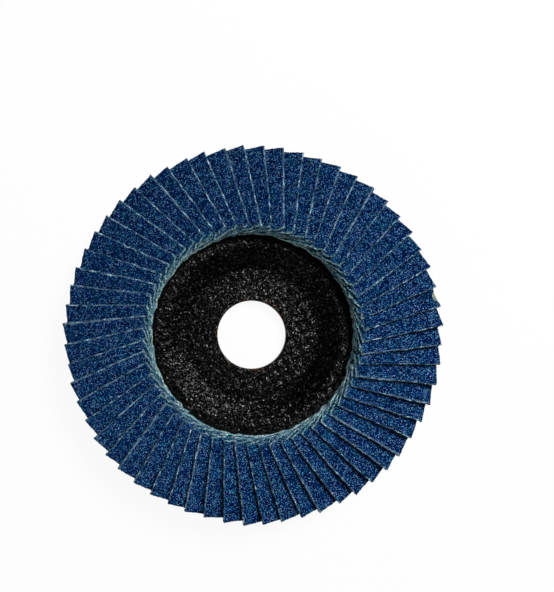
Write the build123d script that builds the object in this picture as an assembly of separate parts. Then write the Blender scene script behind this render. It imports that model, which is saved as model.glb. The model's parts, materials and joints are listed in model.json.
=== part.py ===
from build123d import *
import os
from math import asin, cos, degrees, radians, sin, tan

# A flap disc for an angle grinder: a depressed-centre backing plate with a bore, a bed of
# adhesive on its front annulus, and a ring of abrasive cloth flaps that lie on one another
# like fallen cards. The origin is on the bore's axis at the hub's back face, and +Z points
# from there to the abrasive side. The disc lies on its hub with the flaps on top.

# Driving dimensions, in millimetres and degrees
DISC_RADIUS = 57.5          # the circle that every flap's outer edge touches
BORE_RADIUS = 11.115        # for a 22.23 mm spindle flange
BORE_CHAMFER = 0.35
HUB_RADIUS = 21.45          # flat seat for the clamping nut, on the front
HUB_DEPTH = 3.8             # how far the hub lies below the annulus
SLOPE_ANGLE = 29.6          # of the wall between the hub and the annulus
PLATE_THICKNESS = 3.1
BEND_RADIUS = 1.5           # inside the two bends of the plate
PLATE_INSET = 5.5           # flaps reach this far past the plate
PLATE_EDGE_CHAMFER = 0.7

FLAP_COUNT = 60
FLAP_THICKNESS = 1.0        # backing cloth with its coat of grain
FLAP_GAP = 0.045            # between a flap and the next where they are closest
FREE_EDGE_OFFSET = 9.26     # from the disc's axis to the line of a free edge, seen from above
BURIED_EDGE_OFFSET = 7.78   # the same for the buried edge, on the axis's other side
INNER_END_SKEW = 6.0        # by which a flap's inner end is off square, seen from above
LEDGE_WIDTH = 3.2           # bare annulus between the slope and the flaps
FIRST_FLAP_ANGLE = 0.4

BED_THICKNESS = 0.5         # adhesive under the buried edges
BED_GAP = 0.02              # between the adhesive and a flap
BED_INNER_LIP = 0.45        # adhesive that shows inside the flaps' inner ends
BED_OUTER_INSET = 1.5       # from the plate's rim to the adhesive

# Worked out from them
PLATE_RADIUS = DISC_RADIUS - PLATE_INSET
ANNULUS_Z = PLATE_THICKNESS + HUB_DEPTH
ANNULUS_RADIUS = HUB_RADIUS + HUB_DEPTH / tan(radians(SLOPE_ANGLE))
KNEE_SHIFT = PLATE_THICKNESS * tan(radians(SLOPE_ANGLE / 2))
OUTER_BEND_RADIUS = BEND_RADIUS + PLATE_THICKNESS

FLAP_INNER_RADIUS = ANNULUS_RADIUS + LEDGE_WIDTH
PITCH = 360 / FLAP_COUNT
SEAT_Z = ANNULUS_Z + BED_THICKNESS

# Seen from above, a flap's inner end touches the circle of FLAP_INNER_RADIUS. These are the
# distances along the flap, from the disc's axis, at which that end meets the two long edges.
SKEW_SLOPE = tan(radians(INNER_END_SKEW))
INNER_END_MIDDLE = FLAP_INNER_RADIUS / cos(radians(INNER_END_SKEW))
FREE_EDGE_START = INNER_END_MIDDLE + FREE_EDGE_OFFSET * SKEW_SLOPE
BURIED_EDGE_START = INNER_END_MIDDLE - BURIED_EDGE_OFFSET * SKEW_SLOPE

# Each flap lies on its clockwise neighbour and stands one step further round. The step is
# shortest at the innermost place that the two share: where their inner ends cross, or at the
# lower one's buried corner. There the tilted cloth has room for one thickness and one gap.
# Towards the rim the flaps fan out.
HALF_PITCH = radians(PITCH / 2)
CROSSING = FLAP_INNER_RADIUS * cos(radians(INNER_END_SKEW)) / cos(HALF_PITCH)
CORNER = BURIED_EDGE_START * cos(HALF_PITCH) + BURIED_EDGE_OFFSET * sin(HALF_PITCH)
INNER_STEP = 2 * min(CROSSING, CORNER) * sin(HALF_PITCH)
FLAP_TILT = degrees(asin((FLAP_THICKNESS + FLAP_GAP) / INNER_STEP))
FLAP_WIDTH = (FREE_EDGE_OFFSET + BURIED_EDGE_OFFSET) / cos(radians(FLAP_TILT))


def backing_plate():
    """One pressed plate of constant thickness: flat hub, sloped wall and flat annulus."""
    outline = [
        (BORE_RADIUS, 0),
        (HUB_RADIUS + KNEE_SHIFT, 0),
        (ANNULUS_RADIUS + KNEE_SHIFT, HUB_DEPTH),
        (PLATE_RADIUS, HUB_DEPTH),
        (PLATE_RADIUS, ANNULUS_Z),
        (ANNULUS_RADIUS, ANNULUS_Z),
        (HUB_RADIUS, PLATE_THICKNESS),
        (BORE_RADIUS, PLATE_THICKNESS),
    ]
    roundings = {
        1: OUTER_BEND_RADIUS,
        2: BEND_RADIUS,
        5: OUTER_BEND_RADIUS,
        6: BEND_RADIUS,
    }
    chamfers = {
        0: BORE_CHAMFER,
        3: PLATE_EDGE_CHAMFER,
        4: PLATE_EDGE_CHAMFER,
        7: BORE_CHAMFER,
    }
    section = Polygon(*outline, align=None)
    for index, size in roundings.items():
        section = fillet(nearest_corner(section, outline[index]), size)
    for index, size in chamfers.items():
        section = chamfer(nearest_corner(section, outline[index]), size)
    return revolve(Plane.XZ * section, Axis.Z)


def nearest_corner(section, point):
    return section.vertices().sort_by_distance((*point, 0))[0]


def flap_place(index):
    """The frame of one flap: X outward along the flap, Y across it towards its buried edge,
    Z out of its abrasive face, with the origin on the line of the buried edge."""
    turn = Rot(Z=FIRST_FLAP_ANGLE + index * PITCH)
    return turn * Pos(0, BURIED_EDGE_OFFSET, SEAT_Z) * Rot(X=-FLAP_TILT)


def flap(index):
    """A flat piece of coated cloth. Its free edge points clockwise and stands highest."""
    outline = Polygon(
        (BURIED_EDGE_START, 0),
        (FREE_EDGE_START, -FLAP_WIDTH),
        (DISC_RADIUS, -FLAP_WIDTH),
        (DISC_RADIUS, 0),
        align=None)
    return flap_place(index) * extrude(outline, FLAP_THICKNESS)


def adhesive_bed():
    """A ring of adhesive, level with the top of the buried edges, less the room that each
    flap takes. What is left is one ramp under the foot of every flap."""
    height = BED_THICKNESS + FLAP_THICKNESS * cos(radians(FLAP_TILT))
    outer = PLATE_RADIUS - BED_OUTER_INSET
    inner = FLAP_INNER_RADIUS - BED_INNER_LIP
    blank = Cylinder(outer, height, align=(Align.CENTER, Align.CENTER, Align.MIN))
    blank -= Cylinder(inner, height, align=(Align.CENTER, Align.CENTER, Align.MIN))

    room_width = height / sin(radians(FLAP_TILT)) + BED_GAP
    room = Pos(0, BED_GAP, -BED_GAP) * Box(
        DISC_RADIUS, room_width, 2 * height, align=(Align.MIN, Align.MAX, Align.MIN))
    rooms = [flap_place(index) * room for index in range(FLAP_COUNT)]
    return Pos(0, 0, ANNULUS_Z) * blank - rooms


def flap_pairs():
    """Neighbouring flaps by twos, each pair under one name."""
    pairs = {}
    for first in range(0, FLAP_COUNT, 2):
        members = range(first, min(first + 2, FLAP_COUNT))
        pairs[f"flap_pair_{first // 2 + 1:02d}"] = Compound(
            children=[flap(index) for index in members])
    return pairs


os.makedirs("parts", exist_ok=True)
nodes = {
    "backing_plate": backing_plate(),
    "adhesive_bed": adhesive_bed(),
    **flap_pairs(),
}
for name, shape in nodes.items():
    export_step(shape, f"parts/{name}.step")

free_edge_length = DISC_RADIUS - FREE_EDGE_START
print(f"flap {FLAP_WIDTH:.2f} x {free_edge_length:.2f} mm, tilt {FLAP_TILT:.2f} degrees")
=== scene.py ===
"""A flap disc seen from its abrasive side: a ring of sixty blue abrasive flaps on a black,
glass-fibre backing plate. Lengths are in millimetres unless a name ends in _M; MM turns them
into metres. Angles among the constants are in degrees."""

import json
import math

import bpy
import numpy as np
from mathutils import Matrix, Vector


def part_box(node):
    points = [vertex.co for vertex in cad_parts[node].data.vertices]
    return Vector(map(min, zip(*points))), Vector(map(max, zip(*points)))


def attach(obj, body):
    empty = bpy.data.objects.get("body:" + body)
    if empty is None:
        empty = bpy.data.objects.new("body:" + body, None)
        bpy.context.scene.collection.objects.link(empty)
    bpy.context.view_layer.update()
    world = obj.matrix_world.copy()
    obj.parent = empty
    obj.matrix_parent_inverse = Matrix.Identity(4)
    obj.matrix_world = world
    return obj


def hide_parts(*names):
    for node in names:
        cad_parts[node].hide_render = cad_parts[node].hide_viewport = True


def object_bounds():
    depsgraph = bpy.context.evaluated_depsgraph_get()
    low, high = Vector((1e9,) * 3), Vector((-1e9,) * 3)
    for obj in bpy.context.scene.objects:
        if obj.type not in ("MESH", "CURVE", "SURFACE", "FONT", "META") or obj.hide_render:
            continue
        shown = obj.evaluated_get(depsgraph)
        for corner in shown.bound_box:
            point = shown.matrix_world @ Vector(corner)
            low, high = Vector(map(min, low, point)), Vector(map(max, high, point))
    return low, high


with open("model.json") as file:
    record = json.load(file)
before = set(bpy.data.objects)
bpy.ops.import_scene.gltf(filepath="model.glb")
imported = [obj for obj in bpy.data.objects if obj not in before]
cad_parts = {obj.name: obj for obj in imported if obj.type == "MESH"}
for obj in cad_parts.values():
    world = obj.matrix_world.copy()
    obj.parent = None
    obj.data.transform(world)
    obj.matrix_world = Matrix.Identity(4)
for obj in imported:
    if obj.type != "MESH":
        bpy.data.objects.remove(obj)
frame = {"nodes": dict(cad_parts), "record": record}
cad_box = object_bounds()

MM = 0.001
SEED = 1656

# What the photograph shows of the camera, in its own pixels
IMAGE_WIDTH = 554
IMAGE_HEIGHT = 592
DISC_CENTRE_PX = (253.4, 335.0)
DISC_RADIUS_PX = 187.3
NADIR_OFFSET_PX = (-31.0, -5.0)     # from the disc's centre to the point under the camera
CAMERA_HEIGHT = 200.0               # above the flaps' free edges
CAMERA_ROLL = 0.76                  # about its own axis
CAMERA_CLIP_M = 0.01
SENSOR = 36.0

# A flap's grid
GRID_STEP = 0.22                    # of the relief on the part of a flap that shows
STRIP_WIDTH = 7.0                   # that part, from the free edge inwards
COARSE_COLUMNS = 6
LONG_STEPS = 114
UNDERSIDE_STRIPS = 5
COAT, CUT, BACK, THREAD = range(4)  # material numbers

# A flap's coat and its relief
COAT_THICKNESS = 0.16               # worn off towards a cut edge, which bares the cloth
COAT_SETBACK = 0.18                 # bare cloth along a cut edge, seen from above
INNER_END_BARE = 0.12               # more of it at the inner end
RELIEF_DEPTH = 0.15
RELIEF_CELL = 0.45
CORNER_LIFT = 0.85                  # the most that the free outer corner lifts
WARP = 0.06
WARP_CELL = 6.0
CHIPPED_FLAP = 4                    # its rim has lost a flake of coat
CHIP_MIDDLE = 3.3                   # from the free edge
CHIP_HALF_LENGTH = 1.9
CHIP_REACH = 1.05                   # from the rim inwards
CHIP_BLUR = 0.12
CHIP_DEPTH = 0.3
CHIP_SETBACK = 0.25

# How a cut side leaves its line: spreads of its shift and skew, then bumps of (height, cell)
FREE_EDGE_WANDER = (0.18, 0.22, (0.13, 4.0), (0.08, 1.1))
RIM_WANDER = (0.11, 0.20, (0.06, 1.5))
INNER_END_WANDER = (0.12, 0.18, (0.32, 1.1), (0.24, 0.4))
INNER_END_SETBACK = 0.3
CUT_ROUGHNESS = 0.05
CUT_LEVEL_SPREAD = 0.02

# Loose threads. For each cut side: its direction, the share of its points that carry one, the
# usual length, and the lowest and highest place of the root as shares of the thickness.
EDGE_THREADS = (((-1, 0), 0.62, 0.36, 0.05, 0.60),
                ((0, 1), 0.20, 0.30, -0.25, 0.35),
                ((1, 0), 0.14, 0.25, -0.25, 0.35))
LYING_THREADS = 24                  # on top of a flap's inner end
LYING_ZONE = 0.42                   # from the inner end
LYING_SINK = 0.03
THREAD_RADIUS = 0.05
THREAD_BEND = 0.25                  # spread, as a share of the length
THREAD_SECTIONS = ((-0.15, 1.0), (0.5, 0.85))   # place along the thread, share of the radius

# Plate
HUB_RADIUS = 21.45
HUB_DEPTH = 3.8
SLOPE_ANGLE = 29.6
PLATE_THICKNESS = 3.1
BEND_RADIUS = 1.5
BEND_STEP = 0.35                    # longest chord of a bend
EDGE_CHAMFER = 0.7
BORE_CHAMFER = 0.35
FRONT_SHOWS_TO = 33.0
PLATE_SEGMENTS = 560
STRAND_PITCH = 2.22                 # of the glass-fibre mesh
MESH_TURN = -16.5                   # from the X axis
MESH_WANDER = 0.15                  # how far its strands leave their lines
MESH_WANDER_CELL = 4.0
WALL_CALM = 0.55                    # how much weaker the mesh shows on the sloped wall
RELIEF_UNIT = 0.16
RELIEF_MOST = 2.0                   # either way, in relief units, as are the next four
RELIEF_SINK = 0.6                   # lowers the whole relief
CROSSING_HEIGHT = 1.1               # of the strands' crossings
PEBBLE_HEIGHT = 0.7                 # of the resin's own bumps
GRIT_HEIGHT = 0.30                  # spread from point to point
BACK_RELIEF = 0.4                   # what the pebbles come to on the back
GRIT_CELL = 0.34
FRONT_GRIT_SLOPE = 0.5              # how far the grit turns the shine of the front
BACK_GRIT_SLOPE = 0.06

# Floor and light
FLOOR_GAP = 0.05
FLOOR_HALF_M = 3.0
FLOOR_GREY = 0.93
FLOOR_GLOW = 0.93                   # share of white in what the camera sees of the floor
WORLD_STRENGTH = 0.08
LIGHT_AIM_M = (0, 0, 0.01)


# ---------------------------------------------------------------- noise and meshes

def lattice_noise(rng, x, y, cell):
    """Smooth noise from -1 to 1 over the plane, with bumps about one cell wide."""
    size = 256
    table = rng.uniform(-1, 1, (size, size))
    u, v = np.asarray(x) / cell, np.asarray(y) / cell
    i, j = np.floor(u).astype(int), np.floor(v).astype(int)
    fu, fv = u - i, v - j
    fu, fv = fu * fu * (3 - 2 * fu), fv * fv * (3 - 2 * fv)
    i0, i1, j0, j1 = i % size, (i + 1) % size, j % size, (j + 1) % size
    low = table[i0, j0] * (1 - fu) + table[i1, j0] * fu
    high = table[i0, j1] * (1 - fu) + table[i1, j1] * fu
    return low * (1 - fv) + high * fv


def line_noise(rng, along, cell):
    return lattice_noise(rng, along, along * 0, cell)


def smoothstep(low, high, value):
    t = np.clip((value - low) / (high - low), 0, 1)
    return t * t * (3 - 2 * t)


def make_piece(name, vertices, faces, materials, face_materials, smooth):
    """A mesh object from points in metres. faces is a list of index tuples."""
    mesh = bpy.data.meshes.new(name)
    mesh.from_pydata(np.asarray(vertices).tolist(), [], faces)
    for material in materials:
        mesh.materials.append(material)
    mesh.polygons.foreach_set("material_index", np.asarray(face_materials, np.int32))
    mesh.polygons.foreach_set("use_smooth", np.asarray(smooth, bool))
    mesh.update()
    piece = bpy.data.objects.new(name, mesh)
    bpy.context.scene.collection.objects.link(piece)
    return piece


def grid_quads(rows, columns, closed=False):
    """Quads of a grid whose point (i, j) is i * columns + j. A closed grid is a torus."""
    i = np.arange(rows if closed else rows - 1)
    j = np.arange(columns if closed else columns - 1)
    i, j = (a.ravel() for a in np.meshgrid(i, j, indexing="ij"))
    i1, j1 = (i + 1) % rows, (j + 1) % columns
    quads = [i * columns + j, i1 * columns + j, i1 * columns + j1, i * columns + j1]
    return np.stack(quads, 1).tolist()


# ---------------------------------------------------------------- materials

WAVE_PERIOD = 2 * math.pi / 20      # of Blender's wave texture at a scale of 1


class Nodes:
    """Short calls for building one material's node tree. Sizes are in millimetres."""

    def __init__(self, name):
        self.material = bpy.data.materials.new(name)
        self.material.use_nodes = True
        self.tree = self.material.node_tree
        self.shader = self.tree.nodes["Principled BSDF"]
        self.output = self.tree.nodes["Material Output"]
        coordinates = self.tree.nodes.new("ShaderNodeTexCoord")
        self.place = coordinates.outputs["Object"]

    def node(self, kind, inputs=(), **settings):
        node = self.tree.nodes.new(kind)
        for key, value in settings.items():
            setattr(node, key, value)
        for key, value in dict(inputs).items():
            self.put(node.inputs[key], value)
        return node

    def put(self, socket, value):
        if isinstance(value, bpy.types.NodeSocket):
            self.tree.links.new(value, socket)
        elif socket.type == "RGBA":
            socket.default_value = (*value, 1)
        else:
            socket.default_value = value

    def noise(self, size, detail=2.0, roughness=0.5, vector=None):
        """Noise with bumps of about this size, from 0 to 1."""
        node = self.node("ShaderNodeTexNoise", {
            "Vector": vector or self.place, "Scale": 1 / (size * MM),
            "Detail": detail, "Roughness": roughness})
        return node.outputs["Fac"]

    def wander(self, size, detail, reach):
        """Noise on both sides of 0, from -reach / 2 to reach / 2."""
        centred = self.math("SUBTRACT", self.noise(size, detail), 0.5)
        return self.math("MULTIPLY", centred, reach)

    def cells(self, size):
        return self.node("ShaderNodeTexVoronoi", {
            "Vector": self.place, "Scale": 1 / (size * MM)})

    def ramp(self, value, *stops):
        """A colour or grey for each stop (position, colour)."""
        node = self.node("ShaderNodeValToRGB", {"Fac": value})
        elements = node.color_ramp.elements
        while len(elements) < len(stops):
            elements.new(0.5)
        for element, (position, colour) in zip(elements, stops):
            element.position = position
            grey = isinstance(colour, (int, float))
            element.color = (colour, colour, colour, 1) if grey else (*colour, 1)
        return node.outputs["Color"]

    def mix(self, factor, a, b, blend_type="MIX"):
        """Colour a where factor is 0, and b, or a blended with b, where it is 1."""
        node = self.node("ShaderNodeMix", {0: factor, 6: a, 7: b},
                         data_type="RGBA", blend_type=blend_type)
        return node.outputs[2]

    def math(self, operation, a, b=0.0):
        return self.node("ShaderNodeMath", {0: a, 1: b}, operation=operation).outputs[0]

    def weighted(self, a, share_a, b, share_b):
        return self.math("ADD", self.math("MULTIPLY", a, share_a),
                         self.math("MULTIPLY", b, share_b))

    def band(self, value, low, high):
        """0 at low and 1 at high, held beyond both. Low may be the greater."""
        node = self.node("ShaderNodeMapRange", {
            "Value": value, "From Min": low, "From Max": high})
        return node.outputs["Result"]

    def vector(self, operation, a, b):
        node = self.node("ShaderNodeVectorMath", {0: a, 1: b}, operation=operation)
        return node.outputs["Vector"]

    def scaled(self, vector, factor):
        node = self.node("ShaderNodeVectorMath", {0: vector, 3: factor}, operation="SCALE")
        return node.outputs["Vector"]

    def mapped(self, vector, scale=(1, 1, 1), turn=0.0):
        """The vector scaled and then turned about Z."""
        node = self.node("ShaderNodeMapping", {
            "Vector": vector, "Scale": scale, "Rotation": (0, 0, math.radians(turn))})
        return node.outputs[0]

    def upward(self):
        """How far the surface faces up, from -1 to 1, without bumps."""
        normal = self.node("ShaderNodeNewGeometry").outputs["True Normal"]
        return self.node("ShaderNodeSeparateXYZ", {0: normal}).outputs["Z"]

    def facets(self, cells, slope, under):
        """Normals turned at random, one way in each cell."""
        turn = self.vector("SUBTRACT", cells.outputs["Color"], (0.5, 0.5, 0.5))
        turned = self.vector("ADD", self.scaled(turn, slope), under)
        return self.vector("NORMALIZE", turned, (0, 0, 0))

    def weave(self, place, pitch):
        """Height of a plain weave from 0 to 1, its yarns one pitch apart."""
        waves = [self.node("ShaderNodeTexWave", {
            "Vector": place, "Scale": WAVE_PERIOD / (2 * pitch * MM), "Distortion": 0.8,
            "Detail": 1.0, "Detail Scale": 0.6}, bands_direction=axis).outputs["Fac"]
            for axis in ("X", "Y")]
        return self.math("ABSOLUTE", self.math("SUBTRACT", *waves))

    def dyed(self, colour):
        """Patches of teal and of yellowish white, as resin and bare yarn give a cut inner end."""
        patches = self.noise(1.9, 2)
        colour = self.mix(self.band(patches, 0.53, 0.62), colour, (0.24, 0.72, 0.78), "MULTIPLY")
        return self.mix(self.band(patches, 0.46, 0.38), colour, (1.00, 1.10, 0.94), "MULTIPLY")

    def channel(self, cells, index):
        """A random value from 0 to 1 for each cell."""
        split = self.node("ShaderNodeSeparateColor", {"Color": cells.outputs["Color"]})
        return split.outputs[index]

    def from_ends_vector(self):
        """Metres from a flap's inner end, its free edge and its rim."""
        return self.node("ShaderNodeAttribute", attribute_name="from_ends").outputs["Vector"]

    def from_ends(self):
        """Millimetres from a flap's inner end, its free edge and its rim."""
        millimetres = self.scaled(self.from_ends_vector(), 1 / MM)
        return self.node("ShaderNodeSeparateXYZ", {0: millimetres}).outputs[:3]

    def bump(self, height, depth, strength=1.0, under=None):
        """Bump from a height of 0 to 1 that stands for this depth."""
        node = self.node("ShaderNodeBump", {
            "Height": height, "Distance": depth * MM, "Strength": strength})
        if under is not None:
            self.put(node.inputs["Normal"], under)
        return node.outputs["Normal"]

    def finish(self, **sockets):
        """Sets the shader's sockets, named with underscores for spaces."""
        for name, value in sockets.items():
            self.put(self.shader.inputs[name.replace("_", " ")], value)
        return self.material


def blue_grain():
    """Zirconia grain in blue resin, worn off the cloth at the inner end and the free edge."""
    m = Nodes("blue_grain")
    grains, fine = m.cells(0.22), m.cells(0.12)
    speck_and_glint = m.weighted(m.channel(grains, 0), 0.58, m.channel(fine, 0), 0.42)
    speck_and_glint = m.math("ADD", speck_and_glint, m.wander(3.4, 3, 0.12))
    # The palest cells are pale grains, and also painted glints that stand in for the shine of the
    # grit.
    colour = m.ramp(speck_and_glint,
                    (0.27, (0.0000, 0.0004, 0.006)),
                    (0.43, (0.0000, 0.0030, 0.034)),
                    (0.55, (0.0000, 0.0125, 0.102)),
                    (0.66, (0.0002, 0.0370, 0.220)),
                    (0.73, (0.0010, 0.0840, 0.350)),
                    (0.80, (0.0200, 0.2350, 0.670)),
                    (0.87, (0.4600, 0.7500, 1.000)))
    tint = m.weighted(m.noise(2.4, 2), 0.7, m.channel(grains, 1), 0.3)
    colour = m.mix(m.band(tint, 0.54, 0.68), colour, (1.00, 0.84, 1.00), "MULTIPLY")
    colour = m.mix(m.band(tint, 0.50, 0.36), colour, (0.30, 1.00, 0.92), "MULTIPLY")

    # Inner end: a zone of dull teal, then bare pale strands, more of them near the free edge.
    from_inner, from_free, _ = m.from_ends()
    strands = m.noise(0.24, 2, vector=m.mapped(m.from_ends_vector(), scale=(1, 0.22, 1)))
    ragged = m.math("ADD", m.wander(0.5, 2, 1.0), m.wander(1.8, 2, 1.6))
    reach = m.math("ADD", from_inner, ragged)
    dull = m.ramp(strands,
                  (0.40, (0.000, 0.012, 0.040)),
                  (0.50, (0.004, 0.070, 0.125)),
                  (0.59, (0.050, 0.260, 0.340)))
    colour = m.mix(m.math("MULTIPLY", m.band(reach, 1.5, -0.2), 0.65), colour, dull)
    pale = m.ramp(strands,
                  (0.40, (0.002, 0.030, 0.050)),
                  (0.49, (0.075, 0.260, 0.310)),
                  (0.57, (0.620, 0.950, 0.980)))
    buried = m.math("MULTIPLY", m.band(from_free, 1.0, 7.0), 0.45)
    colour = m.mix(m.band(m.math("SUBTRACT", reach, buried), 0.28, -0.20), colour, m.dyed(pale))

    # Free edge: a thin worn line.
    frayed = m.math("ADD", from_free, m.wander(1.3, 3, 0.9))
    worn = m.ramp(m.noise(0.35, 2), (0.40, (0.02, 0.09, 0.17)), (0.60, (0.34, 0.47, 0.62)))
    colour = m.mix(m.math("MULTIPLY", m.band(frayed, 0.20, 0.02), 0.8), colour, worn)

    flaked = m.node("ShaderNodeAttribute", attribute_name="flaked").outputs["Fac"]
    cloth = m.ramp(m.noise(0.5, 2), (0.35, (0.22, 0.30, 0.20)), (0.6, (0.56, 0.64, 0.42)))
    colour = m.mix(flaked, colour, cloth)

    height = m.math("SUBTRACT", 1.0, grains.outputs["Distance"])
    rough = m.ramp(fine.outputs["Color"], (0.0, 0.45), (1.0, 0.75))
    normal = m.bump(m.noise(0.16, 1), 0.05, 0.7, m.bump(height, 0.30, 1.0))
    return m.finish(Base_Color=colour, Roughness=rough, Normal=normal, Specular_IOR_Level=0.05,
                    Specular_Tint=(0.10, 0.45, 1.0))


def cut_cloth():
    """The cut edge of the coated cloth: pale yarn ends, blue resin and a few green threads."""
    m = Nodes("cut_cloth")
    yarn = m.weighted(m.noise(0.26, 2, 0.6), 0.54, m.noise(1.5, 2), 0.46)
    colour = m.ramp(yarn,
                    (0.43, (0.001, 0.012, 0.040)),
                    (0.48, (0.010, 0.052, 0.125)),
                    (0.53, (0.062, 0.190, 0.300)),
                    (0.585, (0.560, 0.800, 0.920)))
    colour = m.mix(m.band(m.noise(1.1, 2), 0.66, 0.72), colour, (0.13, 0.29, 0.22))
    violet = m.math("MULTIPLY", m.band(m.noise(2.7, 1), 0.50, 0.68), 0.3)
    colour = m.mix(violet, colour, (0.13, 0.20, 0.36))

    from_inner, _, from_rim = m.from_ends()
    ends = m.ramp(m.noise(0.3, 2),
                  (0.39, (0.004, 0.028, 0.042)),
                  (0.47, (0.230, 0.410, 0.460)),
                  (0.56, (0.760, 0.960, 0.980)))
    at_inner = m.math("MULTIPLY", m.band(from_inner, 0.7, 0.3), 0.9)
    colour = m.mix(at_inner, colour, m.dyed(ends))

    # Painted shade: the steep walls are darkened below the slanting border above them, as shadow
    # falls in the gaps between flaps. The rim's walls are mostly resin.
    slanting = m.band(m.upward(), 0.15, 0.5)
    steep_shade = m.math("MULTIPLY", m.math("SUBTRACT", 1.0, slanting),
                   m.band(m.noise(0.8, 2), 0.68, 0.48))
    colour = m.mix(m.math("MULTIPLY", steep_shade, 0.88), colour, (0.005, 0.020, 0.042))
    ragged = m.math("MULTIPLY", m.noise(1.3, 2), -0.8)
    rim = m.band(m.math("ADD", from_rim, ragged), 0.2, -0.2)
    resin_line = m.math("MULTIPLY", m.band(m.noise(0.6, 2), 0.62, 0.45), 0.55)
    colour = m.mix(m.math("MULTIPLY", rim, m.math("MAXIMUM", slanting, resin_line)), colour,
                   (0.016, 0.040, 0.080))
    return m.finish(Base_Color=colour, Roughness=0.85, Normal=m.bump(yarn, 0.12, 0.9),
                    Specular_IOR_Level=0.1)


def cloth_back():
    """The woven back of the cloth, stiff with pale resin."""
    m = Nodes("cloth_back")
    weave = m.weave(m.mapped(m.place, turn=17.2), 0.55)
    stain = m.ramp(m.noise(2.5, 3), (0.35, 0.0), (0.7, 1.0))
    colour = m.mix(stain, (0.17, 0.205, 0.195), (0.31, 0.33, 0.26))
    raised = m.math("ADD", m.math("MULTIPLY", weave, 0.7), 0.3)
    colour = m.mix(raised, (0.05, 0.065, 0.07), colour)
    return m.finish(Base_Color=colour, Roughness=0.8, Normal=m.bump(weave, 0.12, 0.9))


def loose_thread():
    """Frayed ends: pale polyester with a blue-green cast."""
    m = Nodes("loose_thread")
    colour = m.ramp(m.noise(0.9, 2),
                    (0.32, (0.02, 0.13, 0.21)),
                    (0.50, (0.16, 0.36, 0.46)),
                    (0.68, (0.50, 0.68, 0.68)))
    return m.finish(Base_Color=colour, Roughness=0.7, Normal=m.bump(m.noise(0.1), 0.02))


def fibre_resin():
    """Black phenolic resin over glass mesh: a glinting front, brown at the bore, and a back
    that shows the weave."""
    m = Nodes("fibre_resin")
    upward = m.upward()
    front, hidden = m.band(upward, 0.2, 0.6), m.band(upward, -0.2, -0.6)
    around = m.vector("MULTIPLY", m.place, (1, 1, 0))
    radius = m.node("ShaderNodeVectorMath", {0: around}, operation="LENGTH").outputs["Value"]

    colour = m.ramp(m.noise(1.6, 3),
                    (0.35, (0.0001, 0.0002, 0.0002)),
                    (0.65, (0.0012, 0.0016, 0.0016)))
    near_bore = m.band(radius, 13.0 * MM, 11.2 * MM)
    stain = m.math("MULTIPLY", near_bore, m.band(m.noise(3.0, 3), 0.52, 0.68))
    colour = m.mix(stain, colour, (0.045, 0.020, 0.008))

    # The front glints from its grit, less so on the sloped wall.
    grit = m.cells(GRIT_CELL)
    wall = m.math("MULTIPLY",
                  m.band(radius, (HUB_RADIUS - 4.0) * MM, (HUB_RADIUS + 1.0) * MM),
                  m.band(radius, (HUB_RADIUS + 7.6) * MM, (HUB_RADIUS + 6.2) * MM))
    chance = m.channel(grit, 2)
    sparkle = m.mix(wall,
                    m.ramp(chance, (0.0, 0.0), (0.30, 0.04), (0.65, 0.19), (1.0, 0.95)),
                    m.ramp(chance, (0.0, 0.0), (0.40, 0.015), (0.72, 0.08), (1.0, 0.66)))
    glassy = m.mix(front, (0.12, 0.12, 0.12), sparkle)
    rough = m.mix(front, (0.42, 0.42, 0.42),
                  m.ramp(m.channel(grit, 1), (0.0, 0.18), (1.0, 0.42)))

    mesh = m.math("MULTIPLY", m.weave(m.mapped(m.place, turn=MESH_TURN), STRAND_PITCH), hidden)
    colour = m.mix(m.math("MULTIPLY", mesh, 0.8), colour, (0.018, 0.020, 0.018))
    fibres = m.noise(0.9, 2, vector=m.mapped(m.place, scale=(1, 6, 1), turn=MESH_TURN))
    pebbles = m.bump(m.noise(0.95, 1, 0.4), 0.3, 1.0, m.bump(fibres, 0.12, 0.4))
    woven = m.bump(mesh, 0.30, 1.0, m.bump(m.noise(1.4, 2), 0.15, 0.6))
    slope = m.math("ADD", m.math("MULTIPLY", front, FRONT_GRIT_SLOPE - BACK_GRIT_SLOPE),
                   BACK_GRIT_SLOPE)
    normal = m.facets(grit, slope, m.mix(front, woven, pebbles))
    # What is left of the shine where an export drops the link
    m.shader.inputs["Specular IOR Level"].default_value = 0.15
    return m.finish(Base_Color=colour, Roughness=rough, Normal=normal, Specular_IOR_Level=glassy)


def glue_resin():
    """Cured adhesive, dark and slightly glossy, uneven where it was pressed out."""
    m = Nodes("glue_resin")
    colour = m.ramp(m.noise(1.2, 3),
                    (0.35, (0.0004, 0.0006, 0.0006)),
                    (0.70, (0.0040, 0.0050, 0.0055)))
    rough = m.ramp(m.noise(0.7, 2), (0.3, 0.28), (0.7, 0.55))
    return m.finish(Base_Color=colour, Roughness=rough, Normal=m.bump(m.noise(0.5, 2), 0.4, 1.0),
                    Specular_IOR_Level=0.12)


# ---------------------------------------------------------------- flaps

class FlapPlace:
    """A flap's frame, read from the eight corners of its solid."""

    def __init__(self, inner, outer):
        """inner and outer hold the four end corners: buried bottom and top, free bottom and top."""
        self.origin = inner[0]
        self.length = np.linalg.norm(outer[0] - inner[0])
        self.width = np.linalg.norm(outer[2] - outer[0])
        self.thickness = np.linalg.norm(inner[1] - inner[0])
        self.skew = (self.length - np.linalg.norm(outer[2] - inner[2])) / self.width
        self.axes = np.stack([(outer[0] - inner[0]) / self.length,
                              (outer[2] - outer[0]) / self.width,
                              (inner[1] - inner[0]) / self.thickness])

    def world(self, points):
        return self.origin + np.asarray(points) @ self.axes


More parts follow.
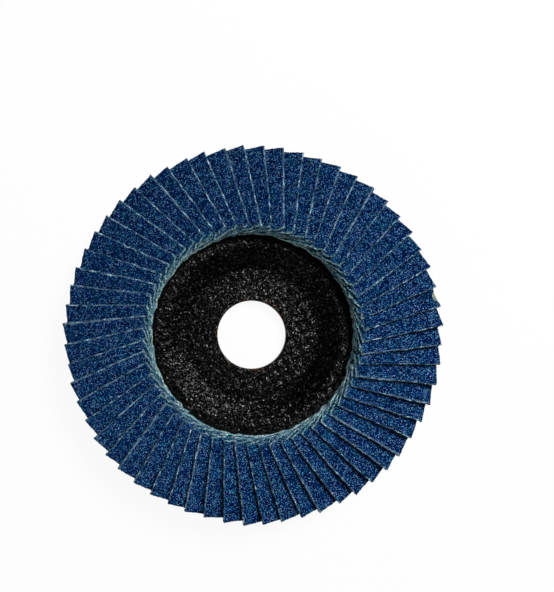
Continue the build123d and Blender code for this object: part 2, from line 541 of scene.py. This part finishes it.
def flaps_of(node):
    """The two flaps of a CAD node, clockwise one first, in millimetres."""
    mesh = frame["nodes"][node].data
    corners = np.zeros(len(mesh.vertices) * 3)
    mesh.vertices.foreach_get("co", corners)
    corners = np.unique(np.round(corners.reshape(-1, 3) / MM, 3), axis=0)
    middle = corners.mean(axis=0)
    levels = corners[np.argsort(corners[:, 2])].reshape(4, 4, 3)
    ends = {"inner": [], "outer": []}
    for level in levels:
        level = level[np.argsort(np.hypot(level[:, 0], level[:, 1]))]
        for end, two in (("inner", level[:2]), ("outer", level[2:])):
            side = middle[0] * two[:, 1] - middle[1] * two[:, 0]
            ends[end].append(two[np.argsort(side / np.hypot(two[:, 0], two[:, 1]))])
    return [FlapPlace([two[k] for two in ends["inner"]], [two[k] for two in ends["outer"]])
            for k in (0, 1)]


def flap_grid(place):
    """Grid points of a flap, along it and across it, finer on the strip that shows."""
    strip_start = place.width - STRIP_WIDTH
    x = np.linspace(0, place.length, LONG_STEPS + 1)
    buried = np.linspace(0, strip_start, COARSE_COLUMNS + 1)[:-1]
    shown = np.linspace(strip_start, place.width, round(STRIP_WIDTH / GRID_STEP) + 1)
    gx, gy = np.meshgrid(x, np.concatenate([buried, shown]), indexing="ij")
    inner_end = place.skew * gy
    return inner_end + (place.length - inner_end) * gx / place.length, gy


def side_wander(rng, along, share, shift, skew, *bumps):
    """How far each point of a cut side leaves its line."""
    wander = rng.normal(0, shift) + rng.normal(0, skew) * (share - 0.5)
    for height, cell in bumps:
        wander = wander + height * line_noise(rng, along, cell)
    return wander


def flap_top(place, rng, chipped):
    """The coated face as grids of x, y, z, and of how far it is lifted and has lost its coat."""
    length, width = place.length, place.width
    gx, gy = flap_grid(place)
    near_free = smoothstep(width - STRIP_WIDTH, width - 1.0, gy)
    near_rim = smoothstep(length * 0.6, length, gx)
    near_inner = smoothstep(length * 0.25, 0, gx - place.skew * gy)
    free_shift = side_wander(rng, gx, gx / length, *FREE_EDGE_WANDER)
    rim_shift = side_wander(rng, gy, gy / width, *RIM_WANDER)
    inner_shift = INNER_END_SETBACK + side_wander(rng, gy, gy / width, *INNER_END_WANDER)
    px = gx + near_rim * rim_shift + near_inner * inner_shift
    py = gy + near_free * free_shift

    lift = rng.uniform(0.0, CORNER_LIFT) * (gx / length) ** 1.5 * (gy / width) ** 4
    lift += WARP * lattice_noise(rng, gx, gy, WARP_CELL) * (gx / length) * near_free
    grain = rng.normal(0, 0.5, gx.shape) + 0.7 * lattice_noise(rng, gx, gy, RELIEF_CELL)
    pz = place.thickness + lift - RELIEF_DEPTH * np.clip(0.5 + 0.5 * grain, 0, 1) * near_free

    chip = np.zeros(gx.shape)
    if chipped:
        from_middle = (width - gy - CHIP_MIDDLE) / CHIP_HALF_LENGTH
        reach = CHIP_REACH * np.clip(1 - from_middle ** 2, 0, 1)
        chip = smoothstep(length - reach - CHIP_BLUR, length - reach + CHIP_BLUR, gx)
        chip = chip * (reach > 0.05)
        px = px - CHIP_SETBACK * chip * near_rim
        pz = pz - CHIP_DEPTH * chip
    return px, py, pz, lift, chip


def boundary_loop(rows, columns):
    """Indices of a grid's outer points in order round it, and which way is out at each."""
    buried = [i * columns for i in range(rows)]
    rim = [(rows - 1) * columns + j for j in range(1, columns)]
    free = [i * columns + columns - 1 for i in range(rows - 2, -1, -1)]
    inner = list(range(columns - 2, 0, -1))
    loop = np.array(buried + rim + free + inner)
    i, j = loop // columns, loop % columns
    out = np.stack([(i == rows - 1) * 1.0 - (i == 0) * 1.0,
                    (j == columns - 1) * 1.0 - (j == 0) * 1.0], 1)
    return loop, out


def coat_setback(rng, at_inner):
    """How far the coat ends short of the cut, at each point of the boundary."""
    run = np.arange(len(at_inner)) * GRID_STEP
    ragged = 1 + 1.1 * line_noise(rng, run, 0.9) + 0.7 * line_noise(rng, run, 0.35)
    setback = COAT_SETBACK * np.clip(ragged, 0.1, 3)
    return setback + at_inner * INNER_END_BARE * (1 + line_noise(rng, run, 0.5))


def underside(ring, rows, columns):
    """The underside as a few broad faces between the two long edges of the lowest ring."""
    free_start = rows + columns - 2
    cuts = np.linspace(0, rows - 1, UNDERSIDE_STRIPS + 1).astype(int).tolist()
    faces = []
    for a, b in zip(cuts, cuts[1:]):
        near = ring[a:b + 1]
        far = [ring[free_start + (rows - 1 - i)] for i in range(b, a - 1, -1)]
        rim_end = ring[rows:rows + columns - 2] if b == rows - 1 else []
        inner_end = ring[free_start + rows:] if a == 0 else []
        faces.append(tuple(reversed(near + rim_end + far + inner_end)))
    return faces


def thread_tubes(rng, threads):
    """Threads given as (root, direction, length), as thin tapering tubes of three sides."""
    points, faces = [], []
    for root, direction, length in threads:
        direction = direction / np.linalg.norm(direction)
        side = np.cross(direction, rng.normal(size=3))
        side /= np.linalg.norm(side)
        other = np.cross(direction, side)
        bend = side * rng.normal(0, THREAD_BEND) + other * rng.normal(0, THREAD_BEND)
        first = len(points)
        for along, share in THREAD_SECTIONS:
            centre = root + direction * length * along + bend * length * max(along, 0) ** 2
            for turn in (0, 2 * math.pi / 3, 4 * math.pi / 3):
                spoke = side * math.cos(turn) + other * math.sin(turn)
                points.append(centre + THREAD_RADIUS * share * spoke)
        points.append(root + direction * length + bend * length)
        for k in range(3):
            n = (k + 1) % 3
            faces.append((first + k, first + n, first + 3 + n, first + 3 + k))
            faces.append((first + 3 + k, first + 3 + n, first + 6))
        faces.append((first + 2, first + 1, first))
    return points, faces


def loose_threads(rng, place, ring, out):
    """Threads along the inner end, the free edge and the rim, and lying on the inner end."""
    threads = []
    for side, chance, usual, low, high in EDGE_THREADS:
        chosen = np.flatnonzero((out[:, 0] == side[0]) & (out[:, 1] == side[1])
                                & (rng.random(len(ring)) < chance))
        for k in chosen:
            root = ring[k] + [0, 0, rng.uniform(low, high) * place.thickness]
            direction = (np.array([side[0], side[1], rng.normal(0.25, 0.5)])
                         + rng.normal(0, 0.55, 3) * [1, 1, 0])
            threads.append((root, direction, usual * rng.uniform(0.4, 1.3)))
    for _ in range(LYING_THREADS):
        across = place.width - rng.uniform(0, STRIP_WIDTH)
        root = np.array([place.skew * across + LYING_ZONE * rng.uniform(0, 1), across,
                         place.thickness - LYING_SINK])
        direction = np.array([rng.normal(-0.1, 0.35), rng.choice((-1, 1)),
                              rng.uniform(0, 0.10)])
        threads.append((root, direction, rng.uniform(0.3, 1.1)))
    return thread_tubes(rng, threads)


def build_flap(name, place, rng, materials, chipped=False):
    """One flap: relief on the strip that shows, ragged cut edges and a few loose threads."""
    *top, lift, chip = flap_top(place, rng, chipped)
    rows, columns = chip.shape
    loop, out = boundary_loop(rows, columns)
    count = len(loop)
    top = np.stack([a.ravel() for a in top], 1)
    edge = top[loop, :2]
    setback = coat_setback(rng, loop < columns)
    top[loop, :2] -= out * setback[:, None]

    # Three rings down the cut: under the coat, at a third of the height and at the bottom.
    rings = []
    for height, push in ((place.thickness - COAT_THICKNESS, 0.0),
                         (place.thickness * 0.35, -0.01), (0.0, -0.05)):
        jitter = rng.normal(0, CUT_ROUGHNESS, count)
        level = height + lift.ravel()[loop]
        uneven = rng.normal(0, CUT_LEVEL_SPREAD, count) * (height > 0)
        rings.append(np.column_stack([edge + out * (push + jitter)[:, None], level + uneven]))
    points = np.concatenate([top, *rings])
    loops = [loop.tolist()] + [(rows * columns + k * count + np.arange(count)).tolist()
                               for k in range(len(rings))]
    walls = [(upper[(k + 1) % count], upper[k], lower[k], lower[(k + 1) % count])
             for upper, lower in zip(loops, loops[1:]) for k in range(count)]

    extra, threads = loose_threads(rng, place, rings[1], out)
    threads = [tuple(len(points) + i for i in face) for face in threads]
    points = np.concatenate([points, np.array(extra)])

    parts = ((grid_quads(rows, columns), COAT, True), (walls, CUT, False),
             (underside(loops[-1], rows, columns), BACK, False), (threads, THREAD, True))
    piece = make_piece(name, place.world(points) * MM,
                       [face for faces, _, _ in parts for face in faces], materials,
                       [kind for faces, kind, _ in parts for _ in faces],
                       [smooth for faces, _, smooth in parts for _ in faces])
    from_ends = np.column_stack([points[:, 0] - place.skew * points[:, 1],
                                 place.width - points[:, 1], place.length - points[:, 0]])
    data = piece.data.attributes.new("from_ends", "FLOAT_VECTOR", "POINT").data
    data.foreach_set("vector", (from_ends * MM).astype(np.float32).ravel())
    flaked = np.zeros(len(points), np.float32)
    flaked[:chip.size] = chip.ravel()
    piece.data.attributes.new("flaked", "FLOAT", "POINT").data.foreach_set("value", flaked)
    return piece


def build_flaps():
    materials = [blue_grain(), cut_cloth(), cloth_back(), loose_thread()]
    pairs = sorted(n for n in frame["nodes"] if n.startswith("flap_pair_"))
    number = 0
    for node in pairs:
        for place in flaps_of(node):
            number += 1
            rng = np.random.default_rng(SEED + number)
            piece = build_flap(f"flap_{number:02d}", place, rng, materials, number == CHIPPED_FLAP)
            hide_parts(node)
            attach(piece, "root")


# ---------------------------------------------------------------- backing plate

def rounded_profile(corners):
    """Points along a closed outline. Each corner is (r, z, bend radius, spacing after it)."""
    count = len(corners)
    ends = []
    for k, (r, z, bend, _) in enumerate(corners):
        here = np.array([r, z])
        back = np.array(corners[k - 1][:2]) - here
        ahead = np.array(corners[(k + 1) % count][:2]) - here
        back, ahead = back / np.linalg.norm(back), ahead / np.linalg.norm(ahead)
        if bend == 0:
            ends.append((here, here, None, 0))
            continue
        half = math.acos(np.clip(back @ ahead, -1, 1)) / 2
        tangent = bend / math.tan(half)
        centre = here + (back + ahead) / np.linalg.norm(back + ahead) * bend / math.sin(half)
        ends.append((here + back * tangent, here + ahead * tangent, centre, bend))
    points = []
    for k, (_, _, _, step) in enumerate(corners):
        start, stop, centre, bend = ends[k]
        if centre is None:
            points.append(start)
        else:
            a = math.atan2(*(start - centre)[::-1])
            b = math.atan2(*(stop - centre)[::-1])
            sweep = (b - a + math.pi) % (2 * math.pi) - math.pi
            chords = max(3, math.ceil(abs(sweep) * bend / BEND_STEP))
            for t in np.linspace(a, a + sweep, chords + 1):
                points.append(centre + bend * np.array([math.cos(t), math.sin(t)]))
        following = ends[(k + 1) % count][0]
        steps = max(1, round(np.linalg.norm(following - stop) / step))
        for t in np.arange(1, steps) / steps:
            points.append(stop + (following - stop) * t)
    return np.array(points)


def plate_profile(bore, plate_radius, annulus_z):
    """The plate's section with its bends, in steps that are fine on the front that shows."""
    front, hidden, back, wall, chamfer = 0.32, 2.4, 0.62, 0.5, 0.2
    knee = HUB_RADIUS + HUB_DEPTH / math.tan(math.radians(SLOPE_ANGLE))
    shift = PLATE_THICKNESS * math.tan(math.radians(SLOPE_ANGLE / 2))
    outer_bend = BEND_RADIUS + PLATE_THICKNESS
    annulus_back = annulus_z - PLATE_THICKNESS
    return rounded_profile([
        (bore, BORE_CHAMFER, 0, wall),
        (bore, PLATE_THICKNESS - BORE_CHAMFER, 0, chamfer),
        (bore + BORE_CHAMFER, PLATE_THICKNESS, 0, front),
        (HUB_RADIUS, PLATE_THICKNESS, BEND_RADIUS, front),
        (knee, annulus_z, outer_bend, front),
        (FRONT_SHOWS_TO, annulus_z, 0, hidden),
        (plate_radius - EDGE_CHAMFER, annulus_z, 0, chamfer),
        (plate_radius, annulus_z - EDGE_CHAMFER, 0, wall),
        (plate_radius, annulus_back + EDGE_CHAMFER, 0, chamfer),
        (plate_radius - EDGE_CHAMFER, annulus_back, 0, back),
        (knee + shift, annulus_back, BEND_RADIUS, back),
        (HUB_RADIUS + shift, 0, outer_bend, back),
        (bore + BORE_CHAMFER, 0, 0, chamfer),
    ])


def plate_relief(rng, x, y):
    """Relief of the front, which shows the buried mesh's crossings, and of the plainer back."""
    turn = math.radians(MESH_TURN)
    x = x + MESH_WANDER * lattice_noise(rng, x, y, MESH_WANDER_CELL)
    y = y + MESH_WANDER * lattice_noise(rng, x, y, MESH_WANDER_CELL)
    a = (x * math.cos(turn) + y * math.sin(turn)) / STRAND_PITCH
    b = (y * math.cos(turn) - x * math.sin(turn)) / STRAND_PITCH
    crossings = 0.3 * np.cos(math.pi * (a + b)) + 0.8 * np.cos(math.pi * (a - b))
    pebbles = 0.75 * lattice_noise(rng, x, y, 0.55) + 0.5 * lattice_noise(rng, x, y, 0.95)
    on_wall = smoothstep(HUB_RADIUS - 1, HUB_RADIUS + 1, np.hypot(x, y))
    front = (1 - WALL_CALM * on_wall) * CROSSING_HEIGHT * crossings + PEBBLE_HEIGHT * pebbles
    return front + rng.normal(0, GRIT_HEIGHT, x.shape), BACK_RELIEF * pebbles


def build_plate():
    """The backing plate as a closed ring with relief on its front and back."""
    _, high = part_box("backing_plate")
    plate_radius, annulus_z = high.x / MM, high.z / MM
    bore = next(m for m in frame["record"]["mounts"] if m["name"] == "bore")["dims"]["r_mm"]
    profile = plate_profile(bore, plate_radius, annulus_z)
    ahead = np.roll(profile, -1, axis=0) - np.roll(profile, 1, axis=0)
    normal = np.stack([-ahead[:, 1], ahead[:, 0]], 1)
    normal /= np.linalg.norm(normal, axis=1)[:, None]
    out, up = normal[:, :1], normal[:, 1:]

    turn = np.arange(PLATE_SEGMENTS) * 2 * math.pi / PLATE_SEGMENTS
    r, angle = np.meshgrid(profile[:, 0], turn, indexing="ij")
    front, back = plate_relief(np.random.default_rng(SEED), r * np.cos(angle), r * np.sin(angle))
    height = np.clip(np.where(up > 0, front, back), -RELIEF_MOST, RELIEF_MOST) - RELIEF_SINK
    from_bore = smoothstep(bore + 0.2, bore + 1.2, r)
    from_rim = smoothstep(plate_radius - 0.2, plate_radius - 1.4, r)
    relief = RELIEF_UNIT * height * np.abs(up) ** 2 * from_bore * from_rim
    r = r + out * relief
    z = np.maximum(profile[:, 1:] + up * relief, 0)
    points = np.stack([r * np.cos(angle), r * np.sin(angle), z], 2).reshape(-1, 3)
    faces = grid_quads(len(profile), PLATE_SEGMENTS, closed=True)
    piece = make_piece("backing_plate_moulded", points * MM, faces, [fibre_resin()],
                       [0] * len(faces), [True] * len(faces))
    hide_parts("backing_plate")
    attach(piece, "root")


def dress_adhesive():
    bed = frame["nodes"]["adhesive_bed"]
    bed.data.materials.clear()
    bed.data.materials.append(glue_resin())


# ---------------------------------------------------------------- floor, light and camera

def build_floor():
    """A plain pale floor, white to the camera, that keeps the disc's soft shadow."""
    m = Nodes("floor_paper")
    m.finish(Base_Color=(FLOOR_GREY, FLOOR_GREY, FLOOR_GREY), Roughness=0.9)
    rays = m.node("ShaderNodeLightPath")
    seen = m.math("MAXIMUM", rays.outputs["Is Camera Ray"], rays.outputs["Is Glossy Ray"])
    glow = m.node("ShaderNodeEmission", {"Color": (1, 1, 1), "Strength": 1.0})
    blend = m.node("ShaderNodeMixShader", {0: m.math("MULTIPLY", seen, FLOOR_GLOW),
                                           1: m.shader.outputs[0], 2: glow.outputs[0]})
    m.put(m.output.inputs["Surface"], blend.outputs[0])
    corners = [(x * FLOOR_HALF_M, y * FLOOR_HALF_M, -FLOOR_GAP * MM)
               for x, y in ((-1, -1), (1, -1), (1, 1), (-1, 1))]
    floor = make_piece("floor", corners, [(0, 1, 2, 3)], [m.material], [0], [False])


def area_light(name, azimuth, elevation, distance_m, size_m, power):
    """A round soft light. Azimuth is counted from the X axis, anticlockwise from above."""
    light = bpy.data.lights.new(name, "AREA")
    light.shape = "DISK"
    light.size = size_m
    light.energy = power
    lamp = bpy.data.objects.new(name, light)
    a, e = math.radians(azimuth), math.radians(elevation)
    direction = np.array([math.cos(a) * math.cos(e), math.sin(a) * math.cos(e), math.sin(e)])
    lamp.location = np.array(LIGHT_AIM_M) + direction * distance_m
    lamp.rotation_euler = (math.pi / 2 - e, 0, a + math.pi / 2)
    bpy.context.scene.collection.objects.link(lamp)


def build_light():
    """A soft key at the upper right, a weak fill opposite, and a dim world that the camera
    sees as white."""
    area_light("key", azimuth=47, elevation=49, distance_m=0.70, size_m=0.35, power=5.4)
    area_light("fill", azimuth=235, elevation=26, distance_m=0.50, size_m=0.30, power=0.36)
    world = bpy.data.worlds.new("studio")
    bpy.context.scene.world = world
    world.use_nodes = True
    nodes, links = world.node_tree.nodes, world.node_tree.links
    rays = nodes.new("ShaderNodeLightPath")
    blend = nodes.new("ShaderNodeMixShader")
    links.new(rays.outputs["Is Camera Ray"], blend.inputs[0])
    backgrounds = nodes["Background"], nodes.new("ShaderNodeBackground")
    for k, (background, strength) in enumerate(zip(backgrounds, (WORLD_STRENGTH, 1.0))):
        background.inputs["Color"].default_value = (1, 1, 1, 1)
        background.inputs["Strength"].default_value = strength
        links.new(background.outputs[0], blend.inputs[k + 1])
    links.new(blend.outputs[0], nodes["World Output"].inputs["Surface"])


def build_camera(disc_radius):
    """Straight above, a little to the left of the disc's axis, framed by lens shift."""
    scale = disc_radius / DISC_RADIUS_PX
    camera = bpy.data.cameras.new("camera")
    camera.sensor_width = SENSOR
    camera.lens = SENSOR * CAMERA_HEIGHT / (IMAGE_HEIGHT * scale)
    nadir = (DISC_CENTRE_PX[0] + NADIR_OFFSET_PX[0], DISC_CENTRE_PX[1] + NADIR_OFFSET_PX[1])
    camera.shift_x = (IMAGE_WIDTH / 2 - nadir[0]) / IMAGE_HEIGHT
    camera.shift_y = (nadir[1] - IMAGE_HEIGHT / 2) / IMAGE_HEIGHT
    camera.clip_start = CAMERA_CLIP_M
    eye = bpy.data.objects.new("camera", camera)
    roll = math.radians(CAMERA_ROLL)
    right, up = NADIR_OFFSET_PX[0] * scale, -NADIR_OFFSET_PX[1] * scale
    eye.location = ((right * math.cos(roll) - up * math.sin(roll)) * MM,
                    (right * math.sin(roll) + up * math.cos(roll)) * MM,
                    cad_box[1][2] + CAMERA_HEIGHT * MM)
    eye.rotation_euler = (0, 0, roll)
    bpy.context.scene.collection.objects.link(eye)
    bpy.context.scene.camera = eye


def flap_circle():
    """The radius of the circle that the flaps' outer edges touch."""
    place = flaps_of("flap_pair_01")[0]
    end = place.origin + place.axes[0] * place.length
    return float(end @ place.axes[0])


build_flaps()
build_plate()
dress_adhesive()
build_floor()
build_light()
build_camera(flap_circle())
bpy.context.scene.view_settings.view_transform = "Standard"
